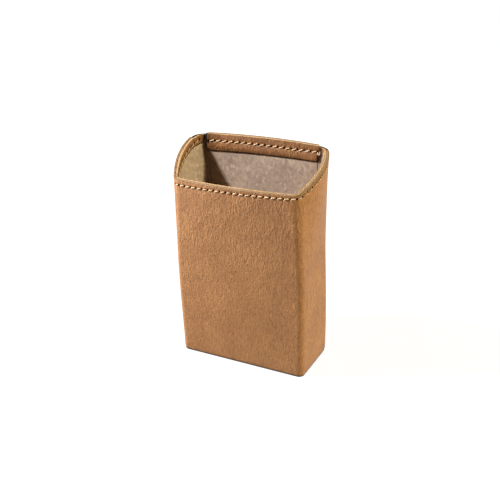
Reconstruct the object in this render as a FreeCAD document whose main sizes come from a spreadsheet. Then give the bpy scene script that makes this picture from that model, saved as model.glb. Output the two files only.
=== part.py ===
import FreeCAD, Part
import os
import re
import Sketcher
from FreeCAD import Placement, Rotation, Vector

# Open-topped leather packet case. The front faces -Y, +Z is up, and the origin is the
# centre of the underside. The walls are flat up to straightHeight, and from there they
# spread and bow outwards to the mouth, as a worn case does.

os.makedirs("parts", exist_ok=True)
doc = FreeCAD.newDocument("PacketCase")

# ---- driving dimensions, in millimetres ----
driving = {
    "caseWidth": 61.0,          # outside, at the base, along X
    "caseDepth": 27.8,          # outside, at the base, along Y
    "frontHeight": 84.2,        # front rim above the base
    "backHeight": 97.3,         # rim at the back seams
    "backCrown": 0.7,           # rise of the back rim at mid-width
    "frontRadius": 2.8,         # plan radius of the folds at the front
    "backRadius": 3.0,          # plan radius of the folds at the back
    "straightHeight": 50.0,     # below this the walls are flat
    "formTop": 100.0,           # level at which the spreads and bows below hold
    "frontSpread": 0.4,         # how far each front corner leans out
    "backSpread": 1.4,          # how far each back corner leans out
    "frontBow": 3.2,            # outward bow at the middle of each wall
    "sideBow": 3.4,
    "backBow": 1.4,
    "leatherThick": 1.2,
    "boardThick": 0.4,
    "liningThick": 0.5,
    "facingThick": 0.6,
    "baseBoardThick": 0.6,
    "riseStart": 1.0,           # the side rim starts to rise this far behind the front face
    "riseEnd": 4.0,             # and ends this far before the back face
    "rimSetback": 0.5,          # boards and lining stop this far below the burnished rim
    "facingHeight": 6.5,        # height of the facing strips
    "seamHalf": 26.8,           # back seams, from the middle
    "seamGap": 0.1,
    "fitGap": 0.05,             # let-in base, all round
    "cornerRelief": 0.5,        # boards and facings stop this far short of a fold
    "backFacingHalf": 26.3,     # free ends of the back facing, from the middle
    "stitchPitch": 2.9,
    "stitchLength": 2.2,
    "stitchDrop": 2.1,          # stitch row below the front and back rims
    "sideStitchDrop": 2.5,      # the same below the sloping side rims
    "threadRadius": 0.3,
    "awlRadius": 0.34,          # holes that the thread passes through
    "threadLift": 0.1,          # crown of a thread above the bowed leather
    "lockInset": 1.0,           # corner lock, from the end of the back facing
}
sheet = doc.addObject("Spreadsheet::Sheet", "Sizes")
for row, (alias, value) in enumerate(driving.items(), start=1):
    sheet.set("A%d" % row, alias)
    sheet.set("B%d" % row, str(value))
    sheet.setAlias("B%d" % row, alias)
doc.recompute()


def size(alias):
    return float(sheet.get(alias))


def bound(text):
    # an expression over bare aliases, such as "caseWidth / 2", tied to the sheet
    return re.sub(r"[A-Za-z]+", lambda word: ("Sizes." if word[0] in driving else "") + word[0], text)


def addBox(name, low, high):
    # two corners, each of three expressions
    box = doc.addObject("Part::Box", name)
    for side, path, start, end in zip(("Length", "Width", "Height"), "xyz", low, high):
        box.setExpression(side, bound("( %s ) - ( %s )" % (end, start)))
        box.setExpression("Placement.Base." + path, bound(start))
    return box


def addCommon(name, *shapes):
    result = doc.addObject("Part::MultiCommon", name)
    result.Shapes = list(shapes)
    return result


def addCut(name, base, tool):
    result = doc.addObject("Part::Cut", name)
    result.Base = base
    result.Tool = tool
    return result


# ---- the formed wall: shells nested between five surfaces ----
# depth of each surface below the leather's outer face
insetTerms = {
    "skin": "0",
    "leather": "leatherThick",
    "board": "leatherThick + boardThick",
    "lining": "leatherThick + boardThick + liningThick",
    "facing": "leatherThick + boardThick + liningThick + facingThick",
}
insets = {
    name: sum(size(word) for word in re.findall(r"[A-Za-z]+", text))
    for name, text in insetTerms.items()
}
smallestRadius = 0.3


def bezier(*poles):
    curve = Part.BezierCurve()
    curve.setPoles(list(poles))
    return curve


def outlineWire(inset, level):
    # plan outline of a surface: four sides, bowed above straightHeight, joined by round folds
    lean = (level - size("straightHeight")) / (size("formTop") - size("straightHeight"))
    lean = max(0.0, lean)
    depth = size("caseDepth") / 2 - inset
    frontHalf = size("caseWidth") / 2 + size("frontSpread") * lean - inset
    backHalf = size("caseWidth") / 2 + size("backSpread") * lean - inset
    sideHalf = (frontHalf + backHalf) / 2 + size("sideBow") * lean
    corners = [
        Vector(-frontHalf, -depth, level),
        Vector(frontHalf, -depth, level),
        Vector(backHalf, depth, level),
        Vector(-backHalf, depth, level),
    ]
    middles = [
        Vector(0, -depth - size("frontBow") * lean, level),
        Vector(sideHalf, 0, level),
        Vector(0, depth + size("backBow") * lean, level),
        Vector(-sideHalf, 0, level),
    ]
    foldRadii = [size("frontRadius")] * 2 + [size("backRadius")] * 2
    folds = [max(radius - inset, smallestRadius) for radius in foldRadii]
    sides = []
    for index in range(4):
        # a parabola through the middle of the side, cut back by a fold's radius at each end
        start, middle, end = corners[index], middles[index], corners[(index + 1) % 4]
        side = bezier(start, middle * 2 - (start + end) / 2, end)
        length = side.length()
        side.segment(folds[index] / length, 1 - folds[(index + 1) % 4] / length)
        sides.append(side)
    edges = []
    for index in range(4):
        # each fold runs from side to side, tangent to both
        after = (index + 1) % 4
        fold = bezier(sides[index].EndPoint, corners[after], sides[after].StartPoint)
        edges += [sides[index].toShape(), fold.toShape()]
    return Part.Wire(edges)


forms = {}
for name, inset in insets.items():
    sections = []
    for place, level in (("Base", 0.0), ("Knee", size("straightHeight")), ("Top", size("formTop"))):
        section = doc.addObject("Part::Feature", name + place)
        section.Shape = outlineWire(inset, level)
        sections.append(section)
    forms[name] = doc.addObject("Part::Loft", name + "Form")
    forms[name].Sections = sections
    forms[name].Solid = True
    forms[name].Ruled = True

surfaces = list(insets)
shells = {
    inner: addCut(inner + "Shell", forms[outer], forms[inner])
    for outer, inner in zip(surfaces, surfaces[1:])
}


# ---- the mouth: all that lies under the rim when the rim is lowered by a drop ----
def addMouth(name, drop):
    # side view: level at the front, a straight rise along the sides, open above the back
    corners = [
        ("- caseWidth", "- caseDepth"),
        ("caseWidth", "- caseDepth"),
        ("caseWidth", "formTop"),
        ("caseDepth / 2 - riseEnd", "formTop"),
        ("caseDepth / 2 - riseEnd", "backHeight - ( %s )" % drop),
        ("- caseDepth / 2 + riseStart", "frontHeight - ( %s )" % drop),
        ("- caseWidth", "frontHeight - ( %s )" % drop),
    ]
    profile = doc.addObject("Sketcher::SketchObject", name + "Profile")
    sideView = Rotation(Vector(0, 1, 0), Vector(0, 0, 1), Vector(1, 0, 0))
    profile.Placement = Placement(Vector(), sideView)
    count = len(corners)
    starts = [Vector(index, index * index, 0) for index in range(count)]
    for index in range(count):
        profile.addGeometry(Part.LineSegment(starts[index], starts[(index + 1) % count]))
    for index, (along, up) in enumerate(corners):
        before = (index - 1) % count
        profile.addConstraint(Sketcher.Constraint("Coincident", before, 2, index, 1))
        for kind, term in (("DistanceX", along), ("DistanceY", up)):
            number = profile.addConstraint(Sketcher.Constraint(kind, index, 1, 1.0))
            profile.setExpression("Constraints[%d]" % number, bound(term))
    slab = doc.addObject("Part::Extrusion", name + "Slab")
    slab.Base = profile
    slab.Dir = Vector(1, 0, 0)
    slab.DirMode = "Custom"
    slab.Solid = True
    slab.Symmetric = True
    slab.setExpression("LengthFwd", bound("2 * caseWidth"))
    # front view: the crown of the back rim, an arc over both back seams
    crown = doc.addObject("Part::Cylinder", name + "Crown")
    radius = bound("( seamHalf * seamHalf + backCrown * backCrown ) / ( 2 * backCrown )")
    crown.setExpression("Radius", radius)
    crown.setExpression("Height", bound("4 * caseDepth"))
    crown.Placement = Placement(Vector(), Rotation(Vector(1, 0, 0), 90))
    crown.setExpression("Placement.Base.y", bound("2 * caseDepth"))
    top = bound("backHeight + backCrown - ( %s )" % drop)
    crown.setExpression("Placement.Base.z", "%s - ( %s )" % (top, radius))
    return addCommon(name, slab, crown)


mouth = addMouth("RimMouth", "0")
coreMouth = addMouth("CoreMouth", "rimSetback")
facingFoot = addMouth("FacingFoot", "facingHeight")


# ---- leather: a wrap round three sides and the back corners, and a back panel let in ----
past = "2 * caseWidth"
pastTop = "2 * formTop"
backSlot = addBox("BackSlot", ("- seamHalf", "0", "- caseDepth"), ("seamHalf", past, pastTop))
backLimits = addBox(
    "BackLimits",
    ("- seamHalf + seamGap", "0", "- caseDepth"),
    ("seamHalf - seamGap", past, pastTop),
)
leatherWall = addCommon("LeatherWall", shells["leather"], mouth)
blanks = {
    "outer_wrap": addCut("WrapBlank", leatherWall, backSlot),
    "back_panel": addCommon("BackBlank", leatherWall, backLimits),
}

# ---- stiffener boards and the lining, standing on the base board ----
floorTop = "leatherThick + baseBoardThick"
sideFront = "- caseDepth / 2 + frontRadius + cornerRelief"
sideBack = "caseDepth / 2 - backRadius - cornerRelief"
frontHalf = "caseWidth / 2 - frontRadius - cornerRelief"
backHalf = "caseWidth / 2 - backRadius - cornerRelief"
coreLimits = {
    "front_board": (("- ( %s )" % frontHalf, "- " + past, floorTop), (frontHalf, "0", pastTop)),
    "back_board": (("- ( %s )" % backHalf, "0", floorTop), (backHalf, past, pastTop)),
    "left_board": (("- " + past, sideFront, floorTop), ("0", sideBack, pastTop)),
    "right_board": (("0", sideFront, floorTop), (past, sideBack, pastTop)),
}
liningSeam = "caseDepth / 2 - backRadius"
liningLimits = {
    "body_lining": (("- " + past, "- " + past, floorTop), (past, liningSeam + " - seamGap", pastTop)),
    "back_lining": (("- " + past, liningSeam, floorTop), (past, past, pastTop)),
}
for shellName, pieces in (("board", coreLimits), ("lining", liningLimits)):
    for label, (low, high) in pieces.items():
        limits = addBox(label + "Limits", low, high)
        blanks[label] = addCommon(label + "Blank", shells[shellName], coreMouth, limits)

# ---- facing strips round the inside of the rim ----
facingBand = addCut("FacingBand", addCommon("FacingWall", shells["facing"], mouth), facingFoot)
facingLimits = {
    "front_facing": (("- ( %s )" % frontHalf, "- " + past, "0"), (frontHalf, "0", pastTop)),
    "back_facing": (("- backFacingHalf", "0", "0"), ("backFacingHalf", past, pastTop)),
    "left_facing": (("- " + past, sideFront, "0"), ("0", sideBack, pastTop)),
    "right_facing": (("0", sideFront, "0"), (past, sideBack, pastTop)),
}
for label, (low, high) in facingLimits.items():
    blanks[label] = addCommon(label + "Blank", facingBand, addBox(label + "Limits", low, high))
doc.recompute()


# ---- base: leather, board and lining let in between the walls ----
def addBaseSlab(label, inset, bottom, thickness):
    body = doc.addObject("PartDesign::Body", label)
    plane = next(item for item in body.Origin.OriginFeatures if item.Role == "XY_Plane")
    plan = body.newObject("Sketcher::SketchObject", label + "Plan")
    plan.AttachmentSupport = [(plane, "")]
    plan.MapMode = "FlatFace"
    corners = [Vector(-9, -9, 0), Vector(9, -9, 0), Vector(9, 9, 0), Vector(-9, 9, 0)]
    for start, end in zip(corners, corners[1:] + corners[:1]):
        plan.addGeometry(Part.LineSegment(start, end))
    for line in range(4):
        plan.addConstraint(Sketcher.Constraint("Coincident", line, 2, (line + 1) % 4, 1))
        plan.addConstraint(Sketcher.Constraint("Vertical" if line % 2 else "Horizontal", line))
    plan.addConstraint(Sketcher.Constraint("Symmetric", 0, 1, 2, 1, -1, 1))
    for kind, line, term in (("DistanceX", 0, "caseWidth"), ("DistanceY", 1, "caseDepth")):
        number = plan.addConstraint(Sketcher.Constraint(kind, line, 1, line, 2, 10.0))
        plan.setExpression("Constraints[%d]" % number, bound("%s - 2 * ( %s )" % (term, inset)))
    pad = body.newObject("PartDesign::Pad", label + "Pad")
    pad.Profile = plan
    pad.setExpression("Length", bound(thickness))
    doc.recompute()
    base = pad
    for place, sign, radius in (("Front", -1, "frontRadius"), ("Back", 1, "backRadius")):
        fillet = body.newObject("PartDesign::Fillet", label + place + "Folds")
        upright = [
            "Edge%d" % number
            for number, edge in enumerate(base.Shape.Edges, start=1)
            if edge.Vertexes[0].X == edge.Vertexes[1].X
            and edge.Vertexes[0].Y * sign > 0
            and edge.Vertexes[1].Y * sign > 0
            and abs(edge.Vertexes[0].Z - edge.Vertexes[1].Z) > 0.1
            and edge.Curve.TypeId == "Part::GeomLine"
        ]
        fillet.Base = (base, upright)
        reach = "max(%s - ( %s ); %s)" % (radius, inset, smallestRadius)
        fillet.setExpression("Radius", bound(reach))
        doc.recompute()
        base = fillet
    body.setExpression("Placement.Base.z", bound(bottom))
    return body


nodes = {
    "base_panel": addBaseSlab("base_panel", "leatherThick + fitGap", "0", "leatherThick"),
    "base_board": addBaseSlab("base_board", "leatherThick + fitGap", "leatherThick", "baseBoardThick"),
    "base_lining": addBaseSlab(
        "base_lining", insetTerms["lining"] + " + fitGap", floorTop, "liningThick"
    ),
}


# ---- stitching ----
def wallPoints(place, outward):
    # where a line outwards from inside the case meets the facing's inner face and the leather
    ray = Part.makeLine(place, place + outward * size("formTop"))
    ends = []
    for form in ("facing", "skin"):
        inside = ray.common(forms[form].Shape).Vertexes
        ends.append(max((vertex.Point for vertex in inside), key=lambda point: (point - place).Length))
    return ends


def threadLoop(corners):
    # a closed loop of thread through four corners, swept from the middle of its first run
    start = (corners[0] + corners[1]) / 2
    path = Part.makePolygon([start] + corners[1:] + corners[:1] + [start])
    heading = (corners[1] - corners[0]).normalize()
    section = Part.Wire(Part.makeCircle(size("threadRadius"), start, heading))
    return path.makePipeShell([section], True, False, 1)


def awlHole(inner, outer, outward):
    length = (outer - inner).Length + 2
    return Part.makeCylinder(size("awlRadius"), length, inner - outward, outward)


def crownHeight(across):
    radius = (size("seamHalf") ** 2 + size("backCrown") ** 2) / (2 * size("backCrown"))
    return size("backHeight") + size("backCrown") - radius + (radius ** 2 - across ** 2) ** 0.5


slope = Vector(
    0,
    size("caseDepth") - size("riseStart") - size("riseEnd"),
    size("backHeight") - size("frontHeight"),
)
slope.normalize()
sideStart = Vector(
    0,
    size("riseStart") - size("caseDepth") / 2,
    size("frontHeight") - size("sideStitchDrop"),
)


def frontRow(along):
    return Vector(along, 0, size("frontHeight") - size("stitchDrop"))


def backRow(along):
    return Vector(along, 0, crownHeight(along) - size("stitchDrop"))


def sideRow(along):
    return sideStart + slope * along


# each row: its line, the ends of its run along that line, its outward side and its leather
frontReach = size("caseWidth") / 2 - size("frontRadius") - size("cornerRelief")
backReach = size("backFacingHalf") - size("lockInset") - size("stitchPitch") / 2
sideRun = [
    (size("frontRadius") + size("cornerRelief") - size("riseStart")) / slope.y,
    (size("caseDepth") - size("riseStart") - size("riseEnd")) / slope.y,
]
rows = {
    "front": (frontRow, [-frontReach, frontReach], Vector(0, -1, 0), "outer_wrap"),
    "left": (sideRow, sideRun, Vector(-1, 0, 0), "outer_wrap"),
    "right": (sideRow, sideRun, Vector(1, 0, 0), "outer_wrap"),
    "back": (backRow, [-backReach, backReach], Vector(0, 1, 0), "back_panel"),
}
stand = size("threadRadius") + size("threadLift")
holes = {label: [] for label in blanks}
for side, (row, (first, last), outward, skin) in rows.items():
    lining = "back_lining" if side == "back" else "body_lining"
    layers = [skin, side + "_board", side + "_facing", lining]
    spare = last - first - size("stitchLength") - 2 * size("awlRadius")
    count = int(spare / size("stitchPitch")) + 1
    loops = []
    for index in range(count):
        centre = (first + last) / 2 + (index - (count - 1) / 2) * size("stitchPitch")
        halfRun = size("stitchLength") / 2 - size("threadRadius")
        corners = []
        for along in (centre - halfRun, centre + halfRun):
            inner, outer = wallPoints(row(along), outward)
            corners.append((outer + outward * stand, inner - outward * stand))
            for layer in layers:
                holes[layer].append(awlHole(inner, outer, outward))
        (startOut, startIn), (endOut, endIn) = corners
        loops.append(threadLoop([startOut, endOut, endIn, startIn]))
    nodes[side + "_stitching"] = doc.addObject("Part::Feature", side + "_stitching")
    nodes[side + "_stitching"].Shape = Part.makeCompound(loops)

# a lock goes over the rim at each end of the back facing, and back through one hole
rearward = Vector(0, 1, 0)
for side, sign in (("left", -1), ("right", 1)):
    across = sign * (size("backFacingHalf") - size("lockInset"))
    lowInner, lowOuter = wallPoints(backRow(across), rearward)
    rim = Vector(across, 0, crownHeight(across) - size("threadRadius"))
    rimInner, rimOuter = wallPoints(rim, rearward)
    over = Vector(0, 0, stand + size("threadRadius"))
    lock = doc.addObject("Part::Feature", side + "_corner_lock")
    lock.Shape = threadLoop([
        lowOuter + rearward * stand,
        rimOuter + rearward * stand + over,
        rimInner - rearward * stand + over,
        lowInner - rearward * stand,
    ])
    nodes[side + "_corner_lock"] = lock
    for layer in ("back_panel", "back_board", "back_lining", "back_facing"):
        holes[layer].append(awlHole(lowInner, lowOuter, rearward))

for label, blank in blanks.items():
    awl = doc.addObject("Part::Feature", label + "Holes")
    awl.Shape = Part.makeCompound(holes[label])
    nodes[label] = addCut(label, blank, awl)
doc.recompute()

# ---- check and write ----
for item in doc.Objects:
    if "Invalid" in item.State or "Error" in item.State:
        raise RuntimeError("%s failed: %s" % (item.Name, item.State))
for label, node in nodes.items():
    node.Label = label
    if node.Shape.isNull() or not node.Shape.isValid():
        raise RuntimeError("%s has no valid shape" % label)
for label, node in nodes.items():
    node.Shape.exportStep("parts/%s.step" % label)
    print("%-18s %8.1f mm3  %d solids" % (label, node.Shape.Volume, len(node.Shape.Solids)))
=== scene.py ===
import bpy
import numpy as np
from mathutils import Matrix, Vector


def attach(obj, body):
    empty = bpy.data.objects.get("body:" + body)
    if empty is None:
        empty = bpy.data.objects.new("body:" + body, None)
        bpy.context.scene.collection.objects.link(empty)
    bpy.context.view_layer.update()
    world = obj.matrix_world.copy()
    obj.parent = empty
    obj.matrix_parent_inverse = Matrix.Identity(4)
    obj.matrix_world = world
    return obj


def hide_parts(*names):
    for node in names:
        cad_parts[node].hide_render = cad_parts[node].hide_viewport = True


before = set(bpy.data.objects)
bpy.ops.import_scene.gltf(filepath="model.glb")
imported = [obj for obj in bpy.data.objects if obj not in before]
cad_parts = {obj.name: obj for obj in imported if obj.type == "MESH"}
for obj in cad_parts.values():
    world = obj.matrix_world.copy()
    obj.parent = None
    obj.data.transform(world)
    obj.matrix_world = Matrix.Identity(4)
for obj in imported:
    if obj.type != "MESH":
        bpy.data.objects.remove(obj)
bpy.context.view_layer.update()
mm = 0.001                                             # shapes are worked out in millimetres


# sRGB hex to the linear colour that a shader takes: each channel through the sRGB curve
def linearColour(text):
    channels = np.array([int(text[i:i + 2], 16) for i in (1, 3, 5)]) / 255
    linear = np.where(channels <= 0.04045, channels / 12.92, ((channels + 0.055) / 1.055) ** 2.4)
    return (*linear.tolist(), 1.0)


# one shader node: its settings by name, its sockets by name or number, each a value or an output to link
def addNode(tree, kind, sockets=None, **settings):
    node = tree.nodes.new(kind)
    for key, value in settings.items():
        setattr(node, key, value)
    for socket, value in (sockets or {}).items():
        if isinstance(value, bpy.types.NodeSocket):
            tree.links.new(value, node.inputs[socket])
        else:
            node.inputs[socket].default_value = value
    return node


# a material with an empty node tree, and the tree
def newMaterial(name):
    material = bpy.data.materials.new(name)
    material.use_nodes = True
    material.node_tree.nodes.clear()
    return material, material.node_tree


camera = {"target": (-0.59, 0.0, 50.27), "distance": 340.76, "azimuth": 28.41, "elevation": 24.21,
          "roll": -2.07, "lens": 55.65, "sensor": 36, "clipStart": 0.01, "clipEnd": 20}


# The camera stands on a sphere round its target; roll turns its right and up directions about the view.
def placeCamera(view):
    turn, rise, roll = np.radians([view["azimuth"], view["elevation"], view["roll"]])
    back = np.array([np.sin(turn) * np.cos(rise), -np.cos(turn) * np.cos(rise), np.sin(rise)])
    level = np.array([np.cos(turn), np.sin(turn), 0])
    upright = np.cross(back, level)
    right = np.cos(roll) * level + np.sin(roll) * upright
    up = np.cross(back, right)
    data = bpy.data.cameras.new("camera")
    data.lens, data.sensor_width = view["lens"], view["sensor"]
    data.clip_start, data.clip_end = view["clipStart"], view["clipEnd"]
    lens = bpy.data.objects.new("camera", data)
    spot = (np.array(view["target"]) + view["distance"] * back) * mm
    turned = Matrix(np.column_stack([right, up, back]).tolist()).to_4x4()
    lens.matrix_world = Matrix.Translation(spot.tolist()) @ turned
    bpy.context.collection.objects.link(lens)
    bpy.context.scene.camera = lens


placeCamera(camera)
print("camera placed")


# the shape of the case, in millimetres: plan, rim, mouth, belly, the layers of the wall, and how far below
# the rim these close up where the boards have ended
caseShape = {"halfWidth": 30.5, "halfDepth": 13.9, "frontRadius": 2.8, "backRadius": 3.0, "seam": 26.8,
             "frontHeight": 84.2, "backHeight": 97.4, "riseStart": -12.9, "riseEnd": 9.9, "riseEase": 1.2,
             "frontSag": 0.3, "sagOver": 1.0, "backCrown": 0.65, "crownOver": 2.0,
             "openFrom": 45, "openOver": 55, "openPower": 1.3,
             "sideBow": 6.5, "backSpread": -1.0, "frontSpread": -2.5, "frontBow": 2.3, "backBow": 1.3,
             "belly": 0.45, "bellyTop": 55,
             "leather": 1.2, "board": 0.4, "lining": 0.5, "facing": 0.6,
             "pinchFrom": 3.0, "pinchOver": 3.0, "pinchEase": 0.3}


# Runs along half of the plan, from the middle of the front to the middle of the back.
def planRuns():
    width, depth = caseShape["halfWidth"], caseShape["halfDepth"]
    front, back = caseShape["frontRadius"], caseShape["backRadius"]
    runs = [width - front, front * np.pi / 2, 2 * depth - front - back, back * np.pi / 2, width - back]
    return np.concatenate([[0], np.cumsum(runs)])


# The plan is a rounded rectangle. s is the way along it from the middle of the front, plus to the right,
# and past the middle of the back it comes round on the left. Returns the point and the outward direction.
def planAt(s):
    width, depth = caseShape["halfWidth"], caseShape["halfDepth"]
    front, back = caseShape["frontRadius"], caseShape["backRadius"]
    ends = planRuns()
    s = (s + ends[5]) % (2 * ends[5]) - ends[5]
    side, along = np.sign(s) + (s == 0), np.abs(s)
    turnFront = np.clip((along - ends[1]) / front, 0, np.pi / 2)
    turnBack = np.clip((along - ends[3]) / back, 0, np.pi / 2)
    angle = turnFront + turnBack - np.pi / 2
    first, last = along < ends[2], along >= ends[3]
    x = np.where(first, width - front + front * np.cos(angle), width)
    y = np.where(first, -depth + front + front * np.sin(angle), -depth + front + along - ends[2])
    x = np.where(along < ends[1], along, x)
    x = np.where(last, width - back + back * np.cos(angle), x)
    y = np.where(last, depth - back + back * np.sin(angle), y)
    x = np.where(along >= ends[4], width - back - (along - ends[4]), x)
    return x * side, y, np.cos(angle) * side, np.sin(angle)


# Rim height: level at the front with a slight sag, a straight rise along the sides eased at both ends,
# and a slight crown along the back.
def rimHeight(x, y):
    share = np.clip(x / caseShape["halfWidth"], -1, 1) ** 2
    start, end, ease = caseShape["riseStart"], caseShape["riseEnd"], caseShape["riseEase"]
    slope = (caseShape["backHeight"] - caseShape["frontHeight"]) / (end - start)
    past = [(t + np.sqrt(t * t + ease * ease)) / 2 for t in (y - start, y - end)]
    sag = caseShape["frontSag"] * (1 - share) * np.clip((start - y) / caseShape["sagOver"] + 1, 0, 1)
    crown = caseShape["backCrown"] * (1 - share) * np.clip((y - end) / caseShape["crownOver"], 0, 1)
    return caseShape["frontHeight"] + slope * (past[0] - past[1]) - sag + crown


# slow waves that keep the side walls, and the front and back, from being quite flat
slowWaves = {"sides": {"size": 0.12, "tall": 13.0, "tallShift": 0.9, "wide": 8.0, "wideShift": 0.4},
             "walls": {"size": 0.14, "tall": 16.0, "tallShift": 0.5, "wide": 11.0, "wideShift": 1.3},
             "footStill": 8.0}


# One sine up the wall times one along it, growing from nothing at the foot.
def slowWave(wave, z, along):
    up = np.sin(z / wave["tall"] + wave["tallShift"])
    sideways = np.sin(along / wave["wide"] + wave["wideShift"])
    return wave["size"] * up * sideways * np.clip(z / slowWaves["footStill"], 0, 1)


# Use has opened the mouth: every wall bows outward by a parabola across it that grows with height,
# the back corners spread, and below the middle the side walls belly out a little.
def settle(x, y, z):
    opened = (np.clip(z - caseShape["openFrom"], 0, None) / caseShape["openOver"]) ** caseShape["openPower"]
    across = np.clip(x / caseShape["halfWidth"], -1, 1)
    through = np.clip(y / caseShape["halfDepth"], -1, 1)
    spread = caseShape["frontSpread"] + (caseShape["backSpread"] - caseShape["frontSpread"]) * (through + 1) / 2
    belly = caseShape["belly"] * np.sin(np.pi * np.clip(z / caseShape["bellyTop"], 0, 1))
    bowX = spread + caseShape["sideBow"] * (1 - through ** 2)
    bowY = np.where(y < 0, caseShape["frontBow"], caseShape["backBow"]) * np.abs(through)
    newX = x + across * (bowX * opened + belly) + slowWave(slowWaves["sides"], z, y) * across
    newY = y + np.sign(y) * bowY * (1 - across ** 2) * opened + slowWave(slowWaves["walls"], z, x) * through
    return newX, newY, z


# A point of the wall, so far in from the plan's outline and so far below the rim. Close to the rim the
# boards have ended, so the inner layers are drawn out there by the board's thickness.
def wallPoint(s, inset, drop):
    x, y, nx, ny = planAt(s)
    pinch = np.clip(1 - (drop - caseShape["pinchFrom"]) / caseShape["pinchOver"], 0, 1)
    pinch = caseShape["board"] * pinch * np.clip((inset - caseShape["leather"]) / caseShape["pinchEase"], 0, 1)
    inset = inset - pinch
    return np.stack(settle(x - nx * inset, y - ny * inset, rimHeight(x, y) - drop), axis=-1)


# One piece: a mesh of points in millimetres with a value for each point under each label, on the case's
# one body, in its finish, standing for the solid of the same name.
def makePiece(name, points, faces, material, attributes):
    mesh = bpy.data.meshes.new(name)
    mesh.from_pydata((points * mm).tolist(), [], [face.tolist() for face in faces])
    for label, values in attributes.items():
        layer = mesh.attributes.new(label, "FLOAT", "POINT")
        layer.data.foreach_set("value", np.ascontiguousarray(values, dtype=np.float32).ravel())
    mesh.polygons.foreach_set("use_smooth", np.ones(len(mesh.polygons), dtype=bool))
    mesh.materials.append(material)
    mesh.update()
    piece = bpy.data.objects.new(name, mesh)
    bpy.context.collection.objects.link(piece)
    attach(piece, "root")
    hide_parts(name)


# Faces of a closed profile (second axis) carried along a path (first axis), as rows of four indices.
def loopFaces(columns, profile):
    grid = np.arange(columns * profile).reshape(columns, profile)
    after = np.roll(grid, -1, axis=1)
    return np.stack([grid[:-1], grid[1:], after[1:], after[:-1]], axis=-1).reshape(-1, 4)


# Turns every face round when the closed surface's volume comes out negative.
def faceOutward(points, faces):
    a, b, c, d = (points[faces[:, i]] for i in range(4))
    volume = np.einsum("ij,ij->", a, np.cross(b, c)) + np.einsum("ij,ij->", a, np.cross(c, d))
    return faces[:, ::-1] if volume < 0 else faces


# rows of points on a sheet: fine down to the dense depth, coarser below it, and points over each edge
sheetRows = {"dense": 6.0, "fine": 0.25, "coarse": 0.8, "arc": 8}


# A sheet of leather standing on edge: a closed profile with rounded top and bottom edges is carried
# along the plan from the sheet's first column to its last. Rows near the rim follow it, lower rows share
# the rest of the height, closer together towards the foot where footDense is over 1. Returns the points
# with what the finishing touches need to know of each.
def wallSheet(sheet):
    outer, thick, edge, s = sheet["inset"], sheet["thick"], sheet["round"], sheet["columns"]
    dense, arc = sheetRows["dense"], sheetRows["arc"]
    x, y = planAt(s)[:2]
    top = sheet["topDrop"] + 0 * s
    length = rimHeight(x, y) - top - sheet["bottom"] if "bottom" in sheet else sheet["tall"] + 0 * s
    near = np.concatenate([np.arange(edge, min(dense, sheet["nearTo"]), sheetRows["fine"]),
                           np.arange(dense, sheet["nearTo"], sheetRows["coarse"])])
    far = 1 - (1 - np.linspace(0, 1, sheet["rows"] + 1)[1:]) ** sheet.get("footDense", 1.0)
    ones = np.ones((len(s), 1))
    down = np.concatenate([near * ones, near[-1] + far * (length - edge - near[-1])[:, None]], axis=1)
    turn = np.linspace(0, np.pi, arc + 2)[1:-1]
    over = edge * (1 - np.sin(turn))
    across = np.where(turn < np.pi / 2, edge * (1 - np.cos(turn)), thick - edge * (1 + np.cos(turn)))
    rows = down.shape[1]
    fromTop = np.concatenate([down[:, ::-1], over * ones, down, length[:, None] - over], axis=1)
    inset = np.concatenate([np.full(rows, outer), outer + across,
                            np.full(rows, outer + thick), outer + thick - across])
    onEdge = np.concatenate([np.zeros(rows), np.ones(arc), np.zeros(rows), np.ones(arc)])
    onEdge[[rows - 1, 2 * rows + arc - 1]] = 0.5           # the burnish fades out over the nearest row
    crest = rows + arc // 2                                # the first point past the top of the profile
    outerHalf = np.concatenate([np.ones(crest), np.zeros(rows + arc), np.ones(arc // 2)])
    profile = fromTop.shape[1]
    step = np.arange(profile // 2 - 1)
    right, left = (crest + step) % profile, (crest - 1 - step) % profile
    cap = np.stack([right, (right + 1) % profile, (left - 1) % profile, left], axis=1)
    faces = np.concatenate([loopFaces(len(s), profile), cap, cap[:, ::-1] + (len(s) - 1) * profile])
    whole = 0 * fromTop
    return {"s": s[:, None] + whole, "drop": fromTop + top[:, None], "inset": inset + whole, "edge": onEdge + whole,
            "outside": outerHalf + whole, "faces": faces, "length": length[:, None] + whole}


# Puts a worked-out sheet into the scene: the points settle into the used shape, then the mesh is made.
def placeSheet(name, made, material, attributes):
    points = wallPoint(made["s"], made["inset"], made["drop"]).reshape(-1, 3)
    makePiece(name, points, faceOutward(points, made["faces"]), material, attributes)


# The stitches, in millimetres: the rows (holes each way from the middle of the front, how many of them are
# on the front, how many are left unsewn outside at each end, and the back row's own), then thread and holes.
stitching = {"pitch": 2.86, "drop": 2.10, "eachWay": 20, "onFront": 10, "unsewn": 3, "tilt": 0.017, "tiltOver": 30,
             "backPitch": 2.925, "backCount": 18, "backShift": -0.3,
             "backDrop": 3.3, "backRise": 0.4, "backRiseAt": 25, "backRiseOver": 10,
             "radius": 0.24, "plies": 3, "lay": 2.2, "plyHigh": 0.10, "around": 10,
             "sink": 0.8, "steps": 15, "flatness": 5, "nudge": 0.05,
             "hole": 0.2875, "slopes": (31, 62), "pulled": 0.45, "beyond": 1.2,
             "groove": 0.12, "grooveHalf": 0.6, "dimple": 0.45}

# lengths along the stitch line of the used shape, from s = 0, in fine steps a little more than once round
wayS = np.linspace(-70, 130, 8001)
waySteps = np.linalg.norm(np.diff(wallPoint(wayS, 0 * wayS, 0 * wayS + stitching["drop"]), axis=0), axis=1)
wayLength = np.concatenate([[0], np.cumsum(waySteps)])
wayLength -= np.interp(0, wayS, wayLength)


# The length along the stitch line at s, read off the steps.
def lengthAt(s):
    return np.interp(s, wayS, wayLength)


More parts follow.
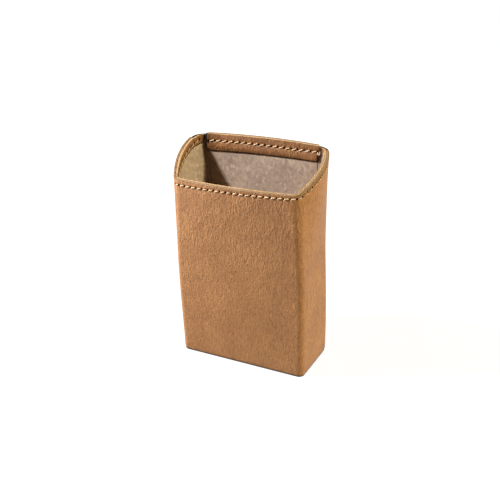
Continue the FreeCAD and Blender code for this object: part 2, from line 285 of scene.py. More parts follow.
# The s at a length along the stitch line.
def placeAt(length):
    return np.interp(length, wayLength, wayS)


# Round tubes of laid-up thread along paths (path, step, xyz). off is a direction across each path. The
# radius waves round and along the tube as the plies wind, once for each ply in a lay's length.
def threadTubes(path, off):
    along = np.gradient(path, axis=1)
    stepLength = np.linalg.norm(along, axis=-1, keepdims=True)
    along = along / stepLength
    sideways = np.cross(off, along)
    sideways /= np.linalg.norm(sideways, axis=-1, keepdims=True)
    off = np.cross(along, sideways)
    turn = np.linspace(0, 2 * np.pi, stitching["around"] + 1)[:-1]
    wound = np.cumsum(stepLength, axis=1) / stitching["lay"]
    plies = np.cos(stitching["plies"] * (turn - 2 * np.pi * wound))
    radius = stitching["radius"] * (1 + stitching["plyHigh"] * plies)
    ring = off[:, :, None] * np.cos(turn)[:, None] + sideways[:, :, None] * np.sin(turn)[:, None]
    points = path[:, :, None] + ring * radius[..., None]
    count, steps, around = points.shape[:3]
    fan = np.arange(around // 2 - 1)
    cap = np.stack([fan, fan + 1, around - 2 - fan, around - 1 - fan], axis=1)
    one = np.concatenate([loopFaces(steps, around), cap[:, ::-1], cap + (steps - 1) * around])
    faces = (one[None] + (np.arange(count) * steps * around)[:, None, None]).reshape(-1, 4)
    return points.reshape(-1, 3), faces


# A row of saddle stitches seen on one face of the wall. Each comes up out of one hole, lies along the
# leather a little aslant and goes down the next: its height follows a flattened half wave of the way.
def stitchRow(holes, row):
    side = row["side"]                                     # 1 outside the wall, -1 inside it
    share = np.linspace(0, 1, stitching["steps"])
    start, end = holes[:-1, None] + row["gap"], holes[1:, None] - row["gap"]
    s = start + (end - start) * share
    wave = np.sqrt(np.clip(1 - np.abs(2 * share - 1) ** stitching["flatness"], 0, 1))
    height = -stitching["sink"] + (stitching["sink"] + row["lift"]) * wave
    drop = row["drop"](s) + row["slant"] * (1 - 2 * share)
    inset = row["face"] - side * height + 0 * s
    path = wallPoint(s, inset, drop)
    return threadTubes(path, wallPoint(s, inset - side * stitching["nudge"], drop) - path)


# Several batches of points and faces as one, with each batch's faces pointing outward.
def joinBatches(batches):
    points, faces, shift = [], [], 0
    for batch, polygons in batches:
        points.append(batch)
        faces.append(faceOutward(batch, polygons) + shift)
        shift += len(batch)
    return np.concatenate(points), np.concatenate(faces)


# How much each point of a sheet belongs to an awl hole and to the line they stand on: bells of the distance
# from them, on the face that the row shows on. The holes are drawn wider on the slopes.
def nearStitches(made, holes, row):
    gap = np.abs(made["s"][..., None] - holes).min(axis=-1)
    below = made["drop"] - row["drop"](made["s"])
    within = (made["s"] > holes[0] - stitching["beyond"]) & (made["s"] < holes[-1] + stitching["beyond"])
    reach = within * (made["outside"] if row["side"] > 0 else 1 - made["outside"]) * (1 - made["edge"])
    low, high = stitching["slopes"]
    wide = stitching["hole"] * (1 + stitching["pulled"] * (np.abs(made["s"]) > low) * (np.abs(made["s"]) < high))
    hole = np.exp(-(gap ** 2 + below ** 2) / (2 * wide ** 2)) * reach
    groove = np.exp(-(below / stitching["grooveHalf"]) ** 2) * reach
    return hole, groove


# Presses the stitch line and the mouths of the holes into the face that the row shows on.
def pressStitches(made, holes, row):
    hole, groove = nearStitches(made, holes, row)
    made["inset"] = made["inset"] + row["side"] * (stitching["groove"] * groove + stitching["dimple"] * hole)
    # the hole mask also places painted shade in the mouths of the holes
    made["hole"] = hole


# sizes in millimetres, then how much each pattern counts in the colour and in the height
russetLeather = {"light": "#d2955d", "dark": "#9a6336", "edge": "#a17b4e", "edgeDark": "#765330",
                 # the next two: dark for black edges and painted shade, and the painted shade in the awl holes
                 "shadeAndBlackTone": "#1c0d06", "hole": "#381404",
                 "mottle": 16.0, "mid": 3.5, "fine": 0.5, "streak": 0.52, "streakLong": 2.2, "grain": 0.5,
                 "crease": 1.1, "creaseLong": 0.42,
                 "mottleShare": 0.32, "midShare": 0.12, "fineShare": 0.5, "streakShare": 0.6,
                 "grainHigh": 0.35, "fineHigh": 0.8,
                 "roughness": 0.5, "roughLess": 0.06, "roughMore": 0.08, "ior": 1.5}


# Vegetable-tanned full-grain cowhide, drum-finished with a little wax: a soft sheen, a fine grain, slow
# cloudiness from the tanning and fine upright fibre streaks. It creases most where it is cloudiest and
# near the mouth. Cut edges are burnished. Painted shade and black edges, and the painted shade in the awl
# holes, take dark tones and lose their sheen.
def makeLeather(name, look):
    material, tree = newMaterial(name)
    place = addNode(tree, "ShaderNodeTexCoord").outputs["Object"]
    upright, drawn = (addNode(tree, "ShaderNodeMapping", {"Vector": place, "Scale": (1, 1, tall)}).outputs[0]
                      for tall in (look["streak"] / look["streakLong"], look["creaseLong"]))
    cloud, mid, fine, streak, crease = (
        addNode(tree, "ShaderNodeTexNoise", {"Vector": vector, "Scale": 1000 / look[size], "Detail": detail,
                                             "Roughness": rough, "Distortion": wander}).outputs["Fac"]
        for vector, size, detail, rough, wander in (
            (place, "mottle", 3.0, 0.55, 0.0), (place, "mid", 3.0, 0.6, 0.0), (place, "fine", 2.0, 0.7, 0.0),
            (upright, "streak", 2.0, 0.6, 0.8), (drawn, "crease", 2.0, 0.5, 1.0)))
    edge, shadeAndBlackEdge, hole = (addNode(tree, "ShaderNodeAttribute", attribute_name=label).outputs["Fac"]
                         for label in ("edge", "shadeAndBlackEdge", "hole"))
    hole = addNode(tree, "ShaderNodeMapRange", {"Value": hole, "From Min": 0.2, "From Max": 0.5}).outputs[0]

    shade = addNode(tree, "ShaderNodeMath", {0: cloud, 1: look["mottleShare"]}, operation="MULTIPLY").outputs[0]
    for pattern, share in ((mid, "midShare"), (fine, "fineShare"), (streak, "streakShare")):
        shade = addNode(tree, "ShaderNodeMath", {0: pattern, 1: look[share], 2: shade},
                        operation="MULTIPLY_ADD").outputs[0]
    shade = addNode(tree, "ShaderNodeMapRange", {"Value": shade, "From Min": 0.6, "From Max": 0.94}).outputs[0]
    grainColour, edgeColour = (
        addNode(tree, "ShaderNodeMix", {0: share, 6: linearColour(look[dark]), 7: linearColour(look[light])},
                data_type="RGBA").outputs[2]
        for share, dark, light in ((shade, "dark", "light"), (mid, "edgeDark", "edge")))
    colour = grainColour
    for share, tone in ((edge, edgeColour), (shadeAndBlackEdge, linearColour(look["shadeAndBlackTone"])), (hole, linearColour(look["hole"]))):
        colour = addNode(tree, "ShaderNodeMix", {0: share, 6: colour, 7: tone}, data_type="RGBA").outputs[2]

    grain = addNode(tree, "ShaderNodeTexVoronoi", {"Vector": place, "Scale": 1000 / look["grain"]})
    level = addNode(tree, "ShaderNodeSeparateXYZ", {"Vector": place}).outputs["Z"]
    worked = addNode(tree, "ShaderNodeMapRange", {"Value": cloud, "From Min": 0.4, "From Max": 0.6,
                                                  "To Min": 0.8, "To Max": 2.6}).outputs[0]
    opened = addNode(tree, "ShaderNodeMapRange", {"Value": level, "From Min": 20 * mm, "From Max": 75 * mm,
                                                  "To Min": 0.45, "To Max": 1.45}).outputs[0]
    height = crease
    for strength in (worked, opened):
        height = addNode(tree, "ShaderNodeMath", {0: height, 1: strength}, operation="MULTIPLY").outputs[0]
    for pattern, share in ((grain.outputs["Distance"], "grainHigh"), (fine, "fineHigh")):
        height = addNode(tree, "ShaderNodeMath", {0: pattern, 1: look[share], 2: height},
                         operation="MULTIPLY_ADD").outputs[0]
    bump = addNode(tree, "ShaderNodeBump", {"Height": height, "Strength": 0.72, "Distance": 0.18 * mm}).outputs[0]

    rough = addNode(tree, "ShaderNodeMapRange", {"Value": mid, "To Min": look["roughness"] - look["roughLess"],
                                                 "To Max": look["roughness"] + look["roughMore"]}).outputs[0]
    dull = addNode(tree, "ShaderNodeMath", {0: shadeAndBlackEdge, 1: hole}, operation="MAXIMUM").outputs[0]
    gloss = addNode(tree, "ShaderNodeMapRange", {"Value": dull, "To Min": 0.5, "To Max": 0.06}).outputs[0]
    shader = addNode(tree, "ShaderNodeBsdfPrincipled", {"Base Color": colour, "Roughness": rough, "Normal": bump,
                                                        "IOR": look["ior"], "Specular IOR Level": gloss})
    addNode(tree, "ShaderNodeOutputMaterial", {"Surface": shader.outputs[0]})
    return material


# the darkest suede tone is painted shade for the corners of the linings
suedeLook = {"light": "#c8b099", "dark": "#a38a7b", "pore": "#927a68", "fleck": "#dfccb5", "cut": "#c2a07a",
             "paintedShade": "#1a110b",
             "cloud": 9.0, "nap": 0.5, "brushed": 1.7, "pores": 1.9, "flecks": 1.5, "fleckLong": 0.6,
             "napShare": 0.5, "brushedShare": 0.9, "napHigh": 0.7, "poreHigh": -0.6,
             "roughness": 0.9, "sheen": 0.25, "sheenRoughness": 0.5, "sheenTint": "#f0dcc8"}


# Pigskin suede: matt split leather with a short nap, brushed patches and groups of bristle pores, darkened
# by painted shade where a piece is marked.
def makeSuede(name, look):
    material, tree = newMaterial(name)
    place = addNode(tree, "ShaderNodeTexCoord").outputs["Object"]
    upright = addNode(tree, "ShaderNodeMapping", {"Vector": place, "Scale": (1, 1, look["fleckLong"])}).outputs[0]
    cloud, nap, brushed, flecks = (
        addNode(tree, "ShaderNodeTexNoise", {"Vector": vector, "Scale": 1000 / look[size], "Detail": detail,
                                             "Roughness": rough}).outputs["Fac"]
        for vector, size, detail, rough in ((place, "cloud", 4.0, 0.6), (place, "nap", 2.0, 0.5),
                                            (place, "brushed", 2.0, 0.5), (upright, "flecks", 1.0, 0.5)))
    pores = addNode(tree, "ShaderNodeTexVoronoi", {"Vector": place, "Scale": 1000 / look["pores"]})
    pore = addNode(tree, "ShaderNodeMapRange", {"Value": pores.outputs["Distance"], "From Min": 0.10,
                                                "From Max": 0.24, "To Min": 0.5, "To Max": 0.0}).outputs[0]
    fleck = addNode(tree, "ShaderNodeMapRange", {"Value": flecks, "From Min": 0.57, "From Max": 0.68,
                                                 "To Min": 0.0, "To Max": 0.5}).outputs[0]
    edge, paintedShade = (addNode(tree, "ShaderNodeAttribute", attribute_name=label).outputs["Fac"]
                   for label in ("edge", "paintedShade"))

    shade = cloud
    for pattern, share in ((nap, "napShare"), (brushed, "brushedShare")):
        shade = addNode(tree, "ShaderNodeMath", {0: pattern, 1: look[share], 2: shade},
                        operation="MULTIPLY_ADD").outputs[0]
    shade = addNode(tree, "ShaderNodeMapRange", {"Value": shade, "From Min": 0.9, "From Max": 1.5}).outputs[0]
    colour = linearColour(look["dark"])
    # the last tone mixed in is painted shade where the linings meet
    for share, tone in ((shade, "light"), (pore, "pore"), (fleck, "fleck"), (edge, "cut"), (paintedShade, "paintedShade")):
        colour = addNode(tree, "ShaderNodeMix", {0: share, 6: colour, 7: linearColour(look[tone])},
                         data_type="RGBA").outputs[2]

    height = cloud
    for pattern, share in ((nap, "napHigh"), (pore, "poreHigh")):
        height = addNode(tree, "ShaderNodeMath", {0: pattern, 1: look[share], 2: height},
                         operation="MULTIPLY_ADD").outputs[0]
    bump = addNode(tree, "ShaderNodeBump", {"Height": height, "Strength": 0.5, "Distance": 0.12 * mm}).outputs[0]
    shader = addNode(tree, "ShaderNodeBsdfPrincipled", {
        "Base Color": colour, "Roughness": look["roughness"], "Normal": bump, "Sheen Weight": look["sheen"],
        "Sheen Roughness": look["sheenRoughness"], "Sheen Tint": linearColour(look["sheenTint"])})
    addNode(tree, "ShaderNodeOutputMaterial", {"Surface": shader.outputs[0]})
    return material


threadLook = {"light": "#f2d8b0", "dark": "#d0a878", "threadShade": "#1d130c", "fibre": 0.25, "roughness": 0.6}


# Waxed linen thread: three plies laid up, natural colour, a little darker where the wax holds dirt, and
# painted dark as shade, without its sheen, where a piece is marked as shaded.
def makeThread(name, look):
    material, tree = newMaterial(name)
    place = addNode(tree, "ShaderNodeTexCoord").outputs["Object"]
    fibre = addNode(tree, "ShaderNodeTexNoise", {"Vector": place, "Scale": 1000 / look["fibre"],
                                                 "Detail": 2.0}).outputs["Fac"]
    threadShade = addNode(tree, "ShaderNodeAttribute", attribute_name="threadShade").outputs["Fac"]
    colour = linearColour(look["dark"])
    for share, tone in ((fibre, "light"), (threadShade, "threadShade")):
        colour = addNode(tree, "ShaderNodeMix", {0: share, 6: colour, 7: linearColour(look[tone])},
                         data_type="RGBA").outputs[2]
    bump = addNode(tree, "ShaderNodeBump", {"Height": fibre, "Strength": 0.4, "Distance": 0.1 * mm}).outputs[0]
    gloss = addNode(tree, "ShaderNodeMapRange", {"Value": threadShade, "To Min": 0.5, "To Max": 0.08}).outputs[0]
    shader = addNode(tree, "ShaderNodeBsdfPrincipled", {"Base Color": colour, "Roughness": look["roughness"],
                                                        "Normal": bump, "Specular IOR Level": gloss})
    addNode(tree, "ShaderNodeOutputMaterial", {"Surface": shader.outputs[0]})
    return material


boardLook = {"light": "#a59a88", "dark": "#7d7263", "fibre": 0.6, "roughness": 0.85}


# Grey fibre board: pressed paper pulp, matt, with short light and dark fibres.
def makeBoard(name, look):
    material, tree = newMaterial(name)
    place = addNode(tree, "ShaderNodeTexCoord").outputs["Object"]
    fibre = addNode(tree, "ShaderNodeTexNoise", {"Vector": place, "Scale": 1000 / look["fibre"], "Detail": 4.0,
                                                 "Distortion": 1.5}).outputs["Fac"]
    colour = addNode(tree, "ShaderNodeMix", {0: fibre, 6: linearColour(look["dark"]), 7: linearColour(look["light"])},
                     data_type="RGBA").outputs[2]
    bump = addNode(tree, "ShaderNodeBump", {"Height": fibre, "Strength": 0.3, "Distance": 0.2 * mm}).outputs[0]
    shader = addNode(tree, "ShaderNodeBsdfPrincipled", {"Base Color": colour, "Roughness": look["roughness"],
                                                        "Normal": bump})
    addNode(tree, "ShaderNodeOutputMaterial", {"Surface": shader.outputs[0]})
    return material


stripLook = {**russetLeather, "light": "#a8733f", "dark": "#744524", "edge": "#c6a173", "edgeDark": "#9c774c",
             "mottle": 7.0, "streakLong": 1.2}
leather = makeLeather("vegetable_tanned_leather", russetLeather)
stripLeather = makeLeather("facing_strip_leather", stripLook)
suede = makeSuede("pigskin_suede", suedeLook)
linen = makeThread("waxed_linen_thread", threadLook)
fibreBoard = makeBoard("grey_fibre_board", boardLook)
print("materials ready")

# where the awl holes are, and how far in each layer of the wall begins
backMiddle = planRuns()[5]
bodyHoles = placeAt(stitching["pitch"] * np.arange(-stitching["eachWay"], stitching["eachWay"] + 1))
backNumbers = np.arange(stitching["backCount"]) - (stitching["backCount"] - 1) / 2
backHoles = placeAt(lengthAt(backMiddle + stitching["backShift"]) + stitching["backPitch"] * backNumbers)
fineStep = stitching["pitch"] / 10
layers = {"board": caseShape["leather"], "lining": caseShape["leather"] + caseShape["board"]}
layers["facing"] = layers["lining"] + caseShape["lining"]
layers["inside"] = layers["facing"] + caseShape["facing"]


# Depth of the front and side rows below the rim: even, but for a slight tilt across the front.
def bodyDrop(s):
    return stitching["drop"] - stitching["tilt"] * np.clip(s, -stitching["tiltOver"], stitching["tiltOver"])


# Depth of the back row below the rim: even, but for a rise towards its right end.
def backDrop(s):
    toEnd = 1 - (s - backMiddle + stitching["backRiseAt"]) / stitching["backRiseOver"]
    return stitching["backDrop"] - stitching["backRise"] * np.clip(toEnd, 0, 1)


# Columns at even distances along the rim, on the same count as the holes, with one at each end and none
# closer than least to it.
def columnsBetween(low, high, step, origin=0.0, least=0.08):
    first, last = lengthAt(low) - origin, lengthAt(high) - origin
    inner = origin + step * np.arange(np.ceil((first + least) / step), np.floor((last - least) / step) + 1)
    return np.concatenate([[low], placeAt(inner), [high]])


# outer leather: one blank round the front, the sides and both back corners, and the back panel
outerWrap = {"inset": 0.0, "thick": caseShape["leather"], "round": 0.5, "topDrop": 0.0, "bottom": 0.0,
             "nearTo": 14.0, "rows": 30, "footDense": 1.7, "seamS": backMiddle - caseShape["seam"], "seamGap": 0.1,
             "cornerDrop": 0.6, "cornerFrom": (50.8, 52.4), "cornerOver": 1.2, "burnDeep": 0.35, "burnEase": 0.2,
             "leftRimShade": 0.14, "leftRimShadeFrom": -30, "leftRimShadeOver": 4,
             "footRound": 0.35, "footTall": 1.7, "footShade": 0.85, "footShadeTall": 1.3}


# The foot of the outer leather is rubbed round: its outer face draws in by the square of the way down.
def roundFoot(made):
    up = np.clip(1 - (made["length"] - made["drop"]) / outerWrap["footTall"], 0, 1)
    nearOutside = np.clip(1 - made["inset"] / outerWrap["thick"], 0, 1)
    made["inset"] = made["inset"] + outerWrap["footRound"] * up ** 2 * nearOutside


# Painted shade along the foot: the lowest edge is darkened, full in the lower half of that height, none at its top.
def paintedFootShade(made):
    up = (made["length"] - made["drop"]) / outerWrap["footShadeTall"]
    return outerWrap["footShade"] * np.clip(2 * (1 - up), 0, 1)


# The wrap's edge dips where it turns the back corners: a smooth step up to the dip's depth.
def cornerDip(s):
    start = np.where(s < 0, *outerWrap["cornerFrom"])
    share = np.clip((np.abs(s) - start) / outerWrap["cornerOver"], 0, 1)
    return outerWrap["cornerDrop"] * share ** 2 * (3 - 2 * share)


# The wrap is black where its edge dips, from there to a little below it, each side of it eased, and its
# edge along the left side is darkened with painted shade.
def blackCornersAndRimShade(made):
    dip, ease = cornerDip(made["s"]), outerWrap["burnEase"]
    shown = made["edge"] + made["outside"] > 0
    black = np.clip(dip / ease, 0, 1) * np.clip((dip + outerWrap["burnDeep"] - made["drop"]) / ease, 0, 1) * shown
    leftRimShaded = np.clip((outerWrap["leftRimShadeFrom"] - made["s"]) / outerWrap["leftRimShadeOver"], 0, 1)
    return np.maximum(black, outerWrap["leftRimShade"] * made["edge"] * leftRimShaded)


columns = columnsBetween(-outerWrap["seamS"], outerWrap["seamS"], fineStep)
made = wallSheet({**outerWrap, "columns": columns, "topDrop": cornerDip(columns)})
pressStitches(made, bodyHoles[stitching["unsewn"]:-stitching["unsewn"]], {"side": 1, "drop": bodyDrop})
roundFoot(made)
placeSheet("outer_wrap", made, leather, {
    "edge": made["edge"], "hole": made["hole"], "shadeAndBlackEdge": np.maximum(blackCornersAndRimShade(made), paintedFootShade(made))})

panelEnd = outerWrap["seamS"] + outerWrap["seamGap"]
made = wallSheet({**outerWrap, "columns": columnsBetween(panelEnd, 2 * backMiddle - panelEnd, fineStep,
                                                         lengthAt(backHoles[0]))})
pressStitches(made, backHoles, {"side": 1, "drop": backDrop})
roundFoot(made)
placeSheet("back_panel", made, leather, {
    "edge": made["edge"], "hole": made["hole"], "shadeAndBlackEdge": paintedFootShade(made)})
print("outer leather done")

# stiffening boards between the leather and the lining, hidden: name, first s, last s
boardGap = 0.02                                        # left free on either face
boards = {"inset": layers["board"] + boardGap, "thick": caseShape["board"] - 2 * boardGap, "round": 0.15,
          "bottom": 1.85, "nearTo": 2.0, "rows": 24, "topDrop": 6.0, "step": 1.0}
for name, low, high in (("front_board", -27.2, 27.2), ("right_board", 32.3, 53.7), ("left_board", -53.7, -32.3),
                        ("back_board", backMiddle - 27.0, backMiddle + 27.0)):
    made = wallSheet({**boards, "columns": columnsBetween(low, high, boards["step"])})
    placeSheet(name, made, fibreBoard, {})

# suede linings: one round the front and sides, one over the back, with painted shade where they meet
linings = {"inset": layers["lining"], "thick": caseShape["lining"], "round": 0.22, "bottom": 2.35, "nearTo": 14.0,
           "rows": 26, "topDrop": 0.2, "step": 0.6, "paintedShadeAt": 59.2, "paintedShadeHalf": 1.9, "paintedShadeTop": 0.95,
           "paintedShadeDeep": 0.62, "paintedShadeFade": 7, "paintedShadeRight": 0.3, "spread": 5.0, "spreadFrom": 5, "spreadOver": 14}


# Painted shade where the linings meet: a darkening bell across each corner, strongest near the mouth,
# wider down the back wall where the shadow spreads, and faint on the right wall.
def cornerPaintedShade(made):
    onBack = made["s"] > backMiddle
    along = np.minimum(np.abs(made["s"]), 2 * backMiddle - np.abs(made["s"]))
    lower = np.clip((made["drop"] - linings["spreadFrom"]) / linings["spreadOver"], 0, 1)
    half = linings["paintedShadeHalf"] + linings["spread"] * lower * onBack
    bell = np.exp(-((along - linings["paintedShadeAt"]) / half) ** 2)
    bell = bell * np.where((made["s"] < 0) | onBack, 1, linings["paintedShadeRight"])
    nearMouth = np.exp(-(made["drop"] / linings["paintedShadeFade"]) ** 2)
    return bell * (linings["paintedShadeDeep"] + (linings["paintedShadeTop"] - linings["paintedShadeDeep"]) * nearMouth)


for name, low, high, dip in (("body_lining", -60.3, 60.3, 1.0), ("back_lining", 60.5, 2 * backMiddle - 60.5, 0.0)):
    columns = columnsBetween(low, high, linings["step"])
    made = wallSheet({**linings, "columns": columns, "topDrop": linings["topDrop"] + dip * cornerDip(columns)})
    # the linings' corners get painted shade
    placeSheet(name, made, suede, {"edge": made["edge"], "paintedShade": cornerPaintedShade(made)})
print("boards and linings done")

# leather facings round the inside of the mouth, their lower edges standing a little free
facings = {"inset": layers["facing"], "thick": caseShape["facing"], "round": 0.27, "rows": 3, "topDrop": 0.05,
           "dipShare": 0.9, "lastRows": 1.6, "mostCut": 2.6, "skive": 0.5, "freeFrom": 2.1, "freeOver": 2.2,
           "paintedFootShade": 0.5, "paintedFootShadeEase": 0.15, "shadeAtEnd": 0.55, "shadeWide": 6.0,
           "blackWide": 1.5, "blackFrom": 3.9, "blackEase": 0.5, "blackMost": 0.95}


# Height of a facing along its columns: a straight line with its two lower corners cut round.
def facingHeight(along, tall, grow, ends):
    height = tall + grow * along
    for fromEnd, rounding in ((along, ends[0]), (along[-1] - along, ends[1])):
        left = 1 - np.clip(fromEnd / rounding, 0, 1)
        height = height - min(rounding, facings["mostCut"]) * (1 - np.sqrt(1 - left ** 2))
    return height


# Painted shade on the back facing: darker towards its left end, near the shaded back-left corner,
# fading evenly, and black at its lower right corner, in the shade of the gap beside it.
def backFacingShade(made, low, high):
    shadedEnd = facings["shadeAtEnd"] * np.clip(1 - (high - made["s"]) / facings["shadeWide"], 0, 1)
    black = (np.clip((facings["blackWide"] - made["s"] + low) / facings["blackEase"], 0, 1)
             * np.clip((made["drop"] - facings["blackFrom"]) / facings["blackEase"], 0, facings["blackMost"]))
    return np.maximum(shadedEnd, black)


# name, first and last s, rounding of the two lower corners, stitches, height and how it grows along the strip
for name, low, high, ends, holes, drop, tall, grow in (
        ("front_facing", -29.8, 29.8, (1.3, 1.3), bodyHoles, bodyDrop, 6.6, 0.0),
        ("right_facing", 30.4, 58.0, (1.3, 5.0), bodyHoles, bodyDrop, 4.1, 0.0),
        ("left_facing", -58.0, -30.4, (5.0, 1.3), bodyHoles, bodyDrop, 4.1, 0.0),
        ("back_facing", backMiddle - 26.5, backMiddle + 25.6, (1.3, 1.3), backHoles, backDrop, 7.3, 0.014)):
    onBack = name == "back_facing"
    columns = columnsBetween(low, high, fineStep, lengthAt(holes[0]))
    dip = 0 if onBack else facings["dipShare"] * cornerDip(columns)
    made = wallSheet({**facings, "columns": columns, "tall": facingHeight(columns - low, tall, grow, ends),
                      "nearTo": tall - facings["lastRows"], "topDrop": facings["topDrop"] + dip})
    pressStitches(made, holes, {"side": -1, "drop": drop})
    free = np.clip((made["drop"] - tall + facings["freeFrom"]) / facings["freeOver"], 0, 1)
    made["inset"] = facings["inset"] + (made["inset"] - facings["inset"]) * (1 - facings["skive"] * free ** 2)
    above = made["length"] + made["drop"].min(axis=1, keepdims=True) - made["drop"]      # from the lower edge
    # painted shade along each facing's lower edge, standing for the shadow line under it
    shadeAndBlackEdge = np.clip((facings["paintedFootShade"] - above) / facings["paintedFootShadeEase"], 0, 1)
    if onBack:
        shadeAndBlackEdge = np.maximum(shadeAndBlackEdge, backFacingShade(made, low, high))
    placeSheet(name, made, stripLeather, {
        "edge": made["edge"], "hole": made["hole"], "shadeAndBlackEdge": shadeAndBlackEdge})
print("facings done")

# thread: name, holes, those sewn through to the outside, depth, and how high it stands outside
outside = {"side": 1, "face": 0.0, "slant": 0.12, "gap": 0.54}
inside = {"side": -1, "face": layers["inside"], "slant": -0.36, "gap": 0.56, "lift": 0.07}
onFront, unsewn = stitching["onFront"], stitching["unsewn"]
for name, holes, seen, drop, lift in (
        ("front_stitching", bodyHoles[onFront:-onFront], slice(None), bodyDrop, 0.07),
        ("right_stitching", bodyHoles[-onFront - 1:], slice(None, -unsewn), bodyDrop, 0.23),
        ("left_stitching", bodyHoles[:onFront + 1], slice(unsewn, None), bodyDrop, 0.04),
        ("back_stitching", backHoles, slice(None), backDrop, 0.07)):
    points, faces = joinBatches([stitchRow(holes[seen], {**outside, "drop": drop, "lift": lift}),
                                 stitchRow(holes, {**inside, "drop": drop})])
    makePiece(name, points, faces, linen, {})
print("stitches done")

# The corner locks: one loop over the rim beside each back corner, knots as (way along, inset, drop), and
# the slack stitch from it to the end of the back row, knots as (share of the way, inset, drop). The left
# one is painted black as shade, the right one a little darker.
cornerLock = {"at": 59.3, "loopSteps": 44, "slackSteps": 30, "nudge": 0.1, "threadShadeRight": 0.1, "threadShadeLeft": 1.0,
              "loop": [(0, 1.3, 3.1), (0, 1.95, 2.6), (0, 1.95, 1.5), (0, 1.9, 0.75), (0, 1.4, 0.42), (0, 0.6, 0.42),
                       (0, -0.06, 0.9), (0, -0.12, 1.9), (0, 0.4, 2.6)],
              "slack": [(0.0, 1.7, 2.2), (0.08, 2.3, 2.7), (0.3, 2.75, 3.6), (0.6, 2.85, 3.95), (0.85, 2.8, 3.6),
                        (1.0, 2.3, 2.95)]}


# A smooth path through the knots: each coordinate by a cubic with the tangents of a Catmull-Rom curve.
def knotPath(knots, steps):
    knots = np.array(knots, dtype=float)
    tangents = np.gradient(knots, axis=0)
    way = np.linspace(0, len(knots) - 1, steps)
    at = np.clip(way.astype(int), 0, len(knots) - 2)
    t = (way - at)[:, None]
    a, b, p, q = knots[at], knots[at + 1], tangents[at], tangents[at + 1]
    ends = (2 * t ** 3 - 3 * t ** 2 + 1) * a + (3 * t ** 2 - 2 * t ** 3) * b
    return ends + (t ** 3 - 2 * t ** 2 + t) * p + (t ** 3 - t ** 2) * q


for name, side, far, threadShade in (
        ("right_corner_lock", 1, backHoles[0], cornerLock["threadShadeRight"]),
        ("left_corner_lock", -1, 2 * backMiddle - backHoles[-1], cornerLock["threadShadeLeft"])):
    loop = knotPath(cornerLock["loop"], cornerLock["loopSteps"])
    slack = knotPath(cornerLock["slack"], cornerLock["slackSteps"])
    loop[:, 0] += cornerLock["at"]
    slack[:, 0] = cornerLock["at"] + slack[:, 0] * (far - cornerLock["at"])
    tubes = []                                             # turned by a direction along the rim, or off the wall
    for way, off in ((loop, (cornerLock["nudge"], 0)), (slack, (0, cornerLock["nudge"]))):
        path = wallPoint(side * way[:, 0], way[:, 1], way[:, 2])[None]
        beside = wallPoint(side * (way[:, 0] + off[0]), way[:, 1] + off[1], way[:, 2])[None]
        tubes.append(threadTubes(path, beside - path))
    points, faces = joinBatches(tubes)
    makePiece(name, points, faces, linen, {"threadShade": np.full(len(points), threadShade)})

# the rest of the construction keeps its worked-out solids
for name, material in (("base_panel", leather), ("base_board", fibreBoard), ("base_lining", suede)):
    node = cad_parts[name]
    node.data.materials.clear()
    node.data.materials.append(material)
print("corner locks and base done")


# floor and light, in metres: the floor's corners, its colour and glow, and the world's own light
studio = {"corners": [[-4, -4, 0], [4, -4, 0], [4, 6, 0], [-4, 6, 0]], "floor": "#6f6e6d", "glow": 0.92,
          "glowNear": 0.08, "glowFar": 0.45, "ambient": 0.01, "aimHeight": 0.05}
lamps = {"key": {"towards": (-1.9, -1.0, 2.3), "distance": 0.5, "size": 0.05, "power": 4.15, "colour": (1, 1, 1)},
         "side": {"towards": (1.0, 0.03, 0.42), "distance": 1.0, "size": 0.03, "power": 8.5,
                  "colour": (1, 0.93, 0.61)},
         "fill": {"towards": (-0.17, -0.13, 0.01), "distance": 0.21, "size": 0.05, "power": 0.13,
                  "colour": (0.92, 0.96, 1)},
         "behind": {"towards": (-0.15, 0.4, 0.01), "distance": 0.43, "size": 0.1, "power": 0.7, "colour": (1, 1, 1)}}


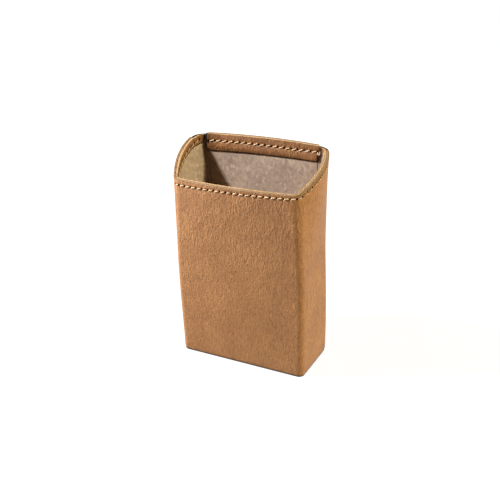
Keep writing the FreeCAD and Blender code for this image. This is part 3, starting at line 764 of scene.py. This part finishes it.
# White seamless paper: it takes the object's shadow, and a glow that only the camera and mirror-like
# surfaces see keeps it white without lighting the object.
def makeFloor():
    material, tree = newMaterial("white_paper")
    paper = addNode(tree, "ShaderNodeBsdfDiffuse", {"Color": linearColour(studio["floor"])}).outputs[0]
    path = addNode(tree, "ShaderNodeLightPath")
    seen = path.outputs["Is Camera Ray"]
    for ray in ("Is Glossy Ray", "Is Transmission Ray"):
        seen = addNode(tree, "ShaderNodeMath", {0: seen, 1: path.outputs[ray]}, operation="MAXIMUM").outputs[0]
    place = addNode(tree, "ShaderNodeTexCoord").outputs["Object"]
    away = addNode(tree, "ShaderNodeVectorMath", {0: place}, operation="LENGTH").outputs["Value"]
    level = addNode(tree, "ShaderNodeMapRange", {"Value": away, "From Min": studio["glowNear"],
                                                 "From Max": studio["glowFar"],
                                                 "To Min": studio["glow"], "To Max": 1.0}).outputs[0]
    strength = addNode(tree, "ShaderNodeMath", {0: seen, 1: level}, operation="MULTIPLY").outputs[0]
    glow = addNode(tree, "ShaderNodeEmission", {"Color": (1, 1, 1, 1), "Strength": strength}).outputs[0]
    both = addNode(tree, "ShaderNodeAddShader", {0: paper, 1: glow}).outputs[0]
    addNode(tree, "ShaderNodeOutputMaterial", {"Surface": both})
    mesh = bpy.data.meshes.new("floor")
    mesh.from_pydata(studio["corners"], [], [[0, 1, 2, 3]])
    mesh.materials.append(material)
    floor = bpy.data.objects.new("floor", mesh)
    bpy.context.collection.objects.link(floor)


# A round lamp so far from the middle of the case in a direction, facing it.
def placeLight(name, lamp):
    data = bpy.data.lights.new(name, "AREA")
    data.shape, data.size, data.energy, data.color = "DISK", lamp["size"], lamp["power"], lamp["colour"]
    towards = Vector(lamp["towards"]).normalized()
    light = bpy.data.objects.new(name, data)
    light.location = towards * lamp["distance"] + Vector((0, 0, studio["aimHeight"]))
    light.rotation_euler = towards.to_track_quat("Z", "Y").to_euler()
    bpy.context.collection.objects.link(light)


# A world that the camera sees white and that lights the object hardly at all.
def makeWorld():
    world = bpy.data.worlds.new("studio")
    bpy.context.scene.world = world
    world.use_nodes = True
    tree = world.node_tree
    tree.nodes.clear()
    path = addNode(tree, "ShaderNodeLightPath").outputs["Is Camera Ray"]
    level = addNode(tree, "ShaderNodeMapRange", {"Value": path, "To Min": studio["ambient"],
                                                 "To Max": 1.0}).outputs[0]
    sky = addNode(tree, "ShaderNodeBackground", {"Color": (1, 1, 1, 1), "Strength": level}).outputs[0]
    addNode(tree, "ShaderNodeOutputWorld", {"Surface": sky})


makeFloor()
for name, lamp in lamps.items():
    placeLight(name, lamp)
makeWorld()
bpy.context.scene.view_settings.view_transform = "Standard"
print("floor and light placed")
